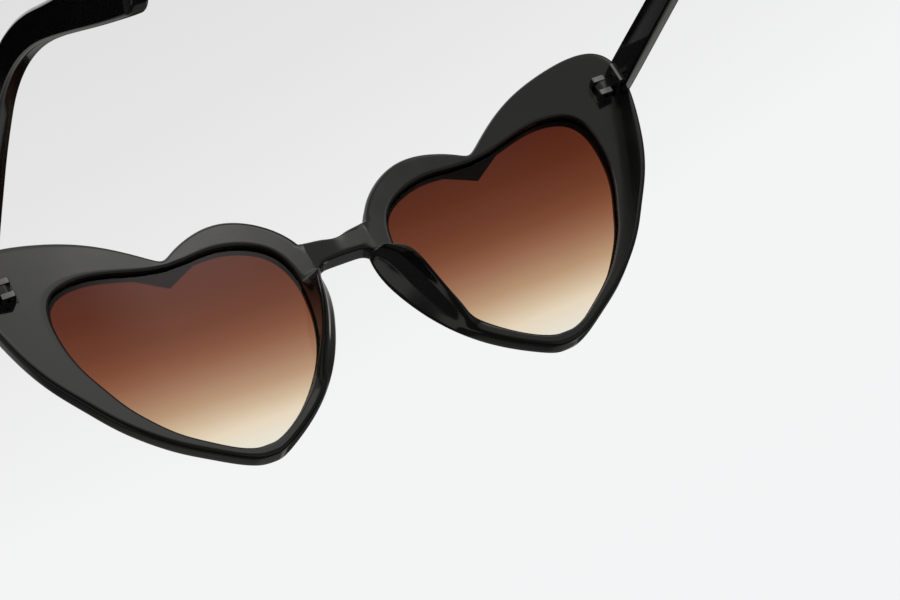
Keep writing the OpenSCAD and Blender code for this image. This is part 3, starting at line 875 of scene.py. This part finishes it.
class Nodes:
    """Short calls for building a node tree."""

    def __init__(self, tree):
        self.tree = tree
        tree.nodes.clear()

    def add(self, kind, operation=None):
        node = self.tree.nodes.new(kind)
        if operation:
            node.operation = operation
        return node

    def link(self, a, b):
        self.tree.links.new(a, b)

    def math(self, operation, *values):
        node = self.add("ShaderNodeMath", operation)
        for socket, value in zip(node.inputs, values):
            if isinstance(value, (int, float)):
                socket.default_value = value
            else:
                self.link(value, socket)
        return node.outputs[0]

    def ramp(self, factor, stops):
        node = self.add("ShaderNodeValToRGB")
        elements = node.color_ramp.elements
        while len(elements) < len(stops):
            elements.new(0.5)
        for element, (place, colour) in zip(elements, stops):
            element.position = place
            element.color = (*colour, 1)
        self.link(factor, node.inputs[0])
        return node.outputs[0]

    def map_range(self, value, low, high, to_low=0.0, to_high=1.0, smooth=False):
        node = self.add("ShaderNodeMapRange")
        node.interpolation_type = "SMOOTHSTEP" if smooth else "LINEAR"
        for i, v in enumerate((low, high, to_low, to_high)):
            node.inputs[i + 1].default_value = v
        self.link(value, node.inputs[0])
        return node.outputs[0]

    def noise(self, vector, scale, detail, rough=0.5):
        node = self.add("ShaderNodeTexNoise")
        node.inputs["Scale"].default_value = scale
        node.inputs["Detail"].default_value = detail
        node.inputs["Roughness"].default_value = rough
        self.link(vector, node.inputs["Vector"])
        return node.outputs[0]

    def split(self, vector):
        node = self.add("ShaderNodeSeparateXYZ")
        self.link(vector, node.inputs[0])
        return node.outputs

    def mix_shader(self, factor, first, second):
        node = self.add("ShaderNodeMixShader")
        for socket, value in zip(node.inputs, (factor, first.outputs[0], second.outputs[0])):
            self.link(value, socket)
        return node


def new_material(name):
    mat = bpy.data.materials.new(name)
    mat.use_nodes = True
    n = Nodes(mat.node_tree)
    shader = n.add("ShaderNodeBsdfPrincipled")
    out = n.add("ShaderNodeOutputMaterial")
    n.link(shader.outputs[0], out.inputs["Surface"])
    place = n.add("ShaderNodeTexCoord").outputs["Object"]
    return mat, n, shader, place


def with_painted_highlight(n, place, base, start_y, colour):
    """The base colour, painted pale behind the given place along the temples, as a painted highlight."""
    mix = n.add("ShaderNodeMixRGB")
    n.link(n.map_range(n.split(place)[1], start_y - END_HIGHLIGHT_FADE, start_y), mix.inputs[0])
    n.link(base, mix.inputs[1])
    mix.inputs[2].default_value = (*colour, 1)
    return mix.outputs[0]


def plastic(name, tone, rough, peel, dust, painted_end=None):
    """Black moulded plastic: polish that varies a little, a faint orange peel and fine dust."""
    mat, n, shader, place = new_material(name)
    shader.inputs["IOR"].default_value = PLASTIC_IOR
    polish = n.map_range(n.noise(place, *SMEAR_NOISE), *SMEAR_SPAN, *rough)
    specks = n.map_range(n.noise(place, *DUST_NOISE), *DUST_SPAN, 0.0, dust)
    n.link(n.math("ADD", polish, specks), shader.inputs["Roughness"])
    tones = zip(TONE_SPAN, (tone, tuple(c * TONE_RISE for c in tone)))
    base = n.ramp(n.noise(place, *TONE_NOISE), list(tones))
    # The bare end faces can get a paler colour here: a painted highlight
    if painted_end:
        base = with_painted_highlight(n, place, base, *painted_end)
    n.link(base, shader.inputs["Base Color"])
    bump = n.add("ShaderNodeBump")
    bump.inputs["Strength"].default_value = peel
    bump.inputs["Distance"].default_value = PEEL_DEPTH
    n.link(n.noise(place, *PEEL_NOISE), bump.inputs["Height"])
    n.link(bump.outputs[0], shader.inputs["Normal"])
    return mat


def lens_material():
    """Clear tinted plastic, dark above and pale below, with a slightly cloudy tint."""
    mat, n, shader, place = new_material("tinted_lens")
    shader.inputs["Transmission Weight"].default_value = 1.0
    shader.inputs["IOR"].default_value = LENS_IOR
    shader.inputs["Roughness"].default_value = 0.0
    x, _, z = n.split(place)
    cloud = n.math("MULTIPLY", n.math("SUBTRACT", n.noise(place, *LENS_NOISE), 0.5), LENS_CLOUD)
    height = n.map_range(n.math("ADD", z, cloud), LENS_LOW, LENS_HIGH)
    n.link(n.ramp(height, LENS_TINT), shader.inputs["Base Color"])
    # Specular tint varies along X: a painted reflection, stronger on the left lens than on the right
    across = n.map_range(x, -LENS_END, LENS_END)
    n.link(n.ramp(across, LENS_PAINTED_REFLECTION), shader.inputs["Specular Tint"])
    return mat


def metal_material():
    mat, n, shader, place = new_material("blackened_steel")
    shader.inputs["Metallic"].default_value = 1.0
    n.link(n.ramp(n.noise(place, *STEEL_TONE_NOISE), STEEL_TONES), shader.inputs["Base Color"])
    rough = n.map_range(n.noise(place, *STEEL_ROUGH_NOISE), *STEEL_SPAN, *STEEL_ROUGH)
    n.link(rough, shader.inputs["Roughness"])
    return mat


# Scene

def towards(bearing, height):
    b, h = math.radians(bearing), math.radians(height)
    return (-math.sin(b) * math.cos(h), math.cos(b) * math.cos(h), math.sin(h))


def patch(n, direction, way, inner, outer, strength):
    """Full strength within the inner angle of a direction, and none beyond the outer one."""
    dot = n.add("ShaderNodeVectorMath", "DOT_PRODUCT")
    n.link(direction, dot.inputs[0])
    dot.inputs[1].default_value = towards(*way)
    return n.map_range(dot.outputs["Value"], math.cos(math.radians(outer)),
                       math.cos(math.radians(inner)), 0.0, strength, smooth=True)


def past(n, angle, place, soft):
    """1 where the angle is past the place, in degrees, or short of it where soft is negative."""
    return n.map_range(angle, math.radians(place - soft), math.radians(place + soft), smooth=True)


def studio_level(n, direction, bearing, height):
    """Brightness of the studio, towards each direction."""
    level = n.math("MULTIPLY", patch(n, direction, *WINDOW), past(n, bearing, *WINDOW_EDGE))
    for light in STUDIO:
        level = n.math("ADD", level, patch(n, direction, *light))
    strip = STRIP_LEVEL
    for angle, (low, high, soft) in ((bearing, STRIP_BEARINGS), (height, STRIP_HEIGHTS)):
        strip = n.math("MULTIPLY", past(n, angle, low, soft), strip)
        strip = n.math("MULTIPLY", past(n, angle, high, -soft), strip)
    level = n.math("ADD", level, strip)
    return n.math("MAXIMUM", n.math("ADD", level, STUDIO_BASE), 0.0)


def world():
    """A pale backdrop for the camera, and a studio with soft patches of light for the gloss."""
    scene_world = bpy.data.worlds.new("studio")
    bpy.context.scene.world = scene_world
    scene_world.use_nodes = True
    n = Nodes(scene_world.node_tree)
    direction = n.add("ShaderNodeTexCoord").outputs["Generated"]
    x, y, z = n.split(direction)
    bearing = n.math("ARCTAN2", n.math("MULTIPLY", x, -1.0), y)
    studio, pale, plain = [n.add("ShaderNodeBackground") for _ in range(3)]
    studio.inputs["Color"].default_value = STUDIO_COLOUR
    level = studio_level(n, direction, bearing, n.math("ARCSINE", z))
    n.link(level, studio.inputs["Strength"])
    n.link(n.ramp(n.map_range(z, 0.0, BACKDROP_TOP), BACKDROP), pale.inputs["Color"])
    plain.inputs["Strength"].default_value = PLAIN_LEVEL
    path = n.add("ShaderNodeLightPath")
    seen = n.math("MAXIMUM", path.outputs["Is Camera Ray"], path.outputs["Is Transmission Ray"])
    in_gloss = n.math("GREATER_THAN", path.outputs["Glossy Depth"], 0.5)
    everything = n.mix_shader(in_gloss, n.mix_shader(seen, plain, pale), studio)
    out = n.add("ShaderNodeOutputWorld")
    n.link(everything.outputs[0], out.inputs["Surface"])
    # Every ray that leaves the scene is then of a kind that the mix above knows
    scene_world.cycles.sampling_method = "NONE"


def floor():
    """A pale floor that shows only from above, because the photograph looks up from below it."""
    r = FLOOR_REACH
    data = bpy.data.meshes.new("floor")
    data.from_pydata([(-r, -r, 0), (r, -r, 0), (r, r, 0), (-r, r, 0)], [], [(0, 1, 2, 3)])
    obj = bpy.data.objects.new("floor", data)
    bpy.context.scene.collection.objects.link(obj)
    mat = bpy.data.materials.new("pale_floor")
    mat.use_nodes = True
    n = Nodes(mat.node_tree)
    top = n.add("ShaderNodeBsdfDiffuse")
    top.inputs["Color"].default_value = FLOOR_COLOUR
    under = n.add("ShaderNodeBsdfTransparent")
    from_below = n.add("ShaderNodeNewGeometry").outputs["Backfacing"]
    in_gloss = n.add("ShaderNodeLightPath").outputs["Is Glossy Ray"]
    mix = n.mix_shader(n.math("MAXIMUM", from_below, in_gloss), top, under)
    out = n.add("ShaderNodeOutputMaterial")
    n.link(mix.outputs[0], out.inputs["Surface"])
    data.materials.append(mat)


def overhead_lamp():
    data = bpy.data.lights.new("overhead", "AREA")
    data.shape = "DISK"
    data.size = LAMP_SIZE
    data.energy = LAMP_POWER
    obj = bpy.data.objects.new("overhead", data)
    obj.location = LAMP_PLACE
    look = Vector(LAMP_TARGET) - Vector(LAMP_PLACE)
    obj.rotation_euler = look.to_track_quat("-Z", "Y").to_euler()
    bpy.context.scene.collection.objects.link(obj)


def camera():
    data = bpy.data.cameras.new("photo_camera")
    data.lens = CAMERA_LENS
    data.sensor_width = CAMERA_SENSOR
    data.clip_start = CAMERA_NEAR
    obj = bpy.data.objects.new("photo_camera", data)
    obj.location = CAMERA_PLACE
    obj.rotation_euler = [math.radians(a) for a in CAMERA_TURN]
    bpy.context.scene.collection.objects.link(obj)
    bpy.context.scene.camera = obj


def finish_piece(obj, material, slot, body, *nodes):
    outward(obj)
    shade(obj, SHARP_ANGLE[slot])
    obj.data.materials.clear()
    obj.data.materials.append(material)
    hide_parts(*nodes)
    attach(obj, body)


def build():
    black = plastic("gloss_black", *GLOSS_BLACK)
    temple_black = plastic("temple_black", *TEMPLE_BLACK)
    # Lugs and leaves get a paler colour on their bare end faces: a painted highlight
    lug_end = (HINGE_Y + LUG_REACH - END_HIGHLIGHT_DEPTH) * MM
    leaf_end = (HINGE_Y + LEAF_L - LEAF_FRONT - END_HIGHLIGHT_DEPTH) * MM
    lug_black_with_highlight = plastic("lug_black_with_highlight", *HINGE_BLACK, (lug_end, LUG_END_HIGHLIGHT))
    leaf_black_with_highlight = plastic("leaf_black_with_highlight", *HINGE_BLACK, (leaf_end, LEAF_END_HIGHLIGHT))
    tinted = lens_material()
    steel = metal_material()
    front = make_piece("front", front_mesh())
    finish_piece(front, black, "front_frame", "front", "front_frame")
    for side, word in ((1, "left"), (-1, "right")):
        arm = word + "_temple_arm"
        lens = make_piece(word + "_tinted_lens", lens_mesh(), side)
        finish_piece(lens, tinted, "lens", "front", word + "_lens")
        temple = make_piece(word + "_side_arm", temple_mesh(), side)
        finish_piece(temple, temple_black, "temple", arm, word + "_temple")
        lugs = make_piece(word + "_lugs", front_hinge_mesh(), side)
        bevel(lugs, LUG_BEVEL)
        finish_piece(lugs, lug_black_with_highlight, "hinge", "front", word + "_front_hinge")
        knuckle = make_piece(word + "_knuckle", temple_hinge_mesh(), side)
        bevel(knuckle, LEAF_BEVEL)
        finish_piece(knuckle, leaf_black_with_highlight, "hinge", arm, word + "_temple_hinge")
        screw = make_piece(word + "_screw", screw_mesh(), side)
        outward(screw)
        cut_slot(screw, side)
        finish_piece(screw, steel, "screw", "front", word + "_hinge_screw")


build()
world()
floor()
overhead_lamp()
camera()
bpy.context.scene.view_settings.view_transform = "Standard"
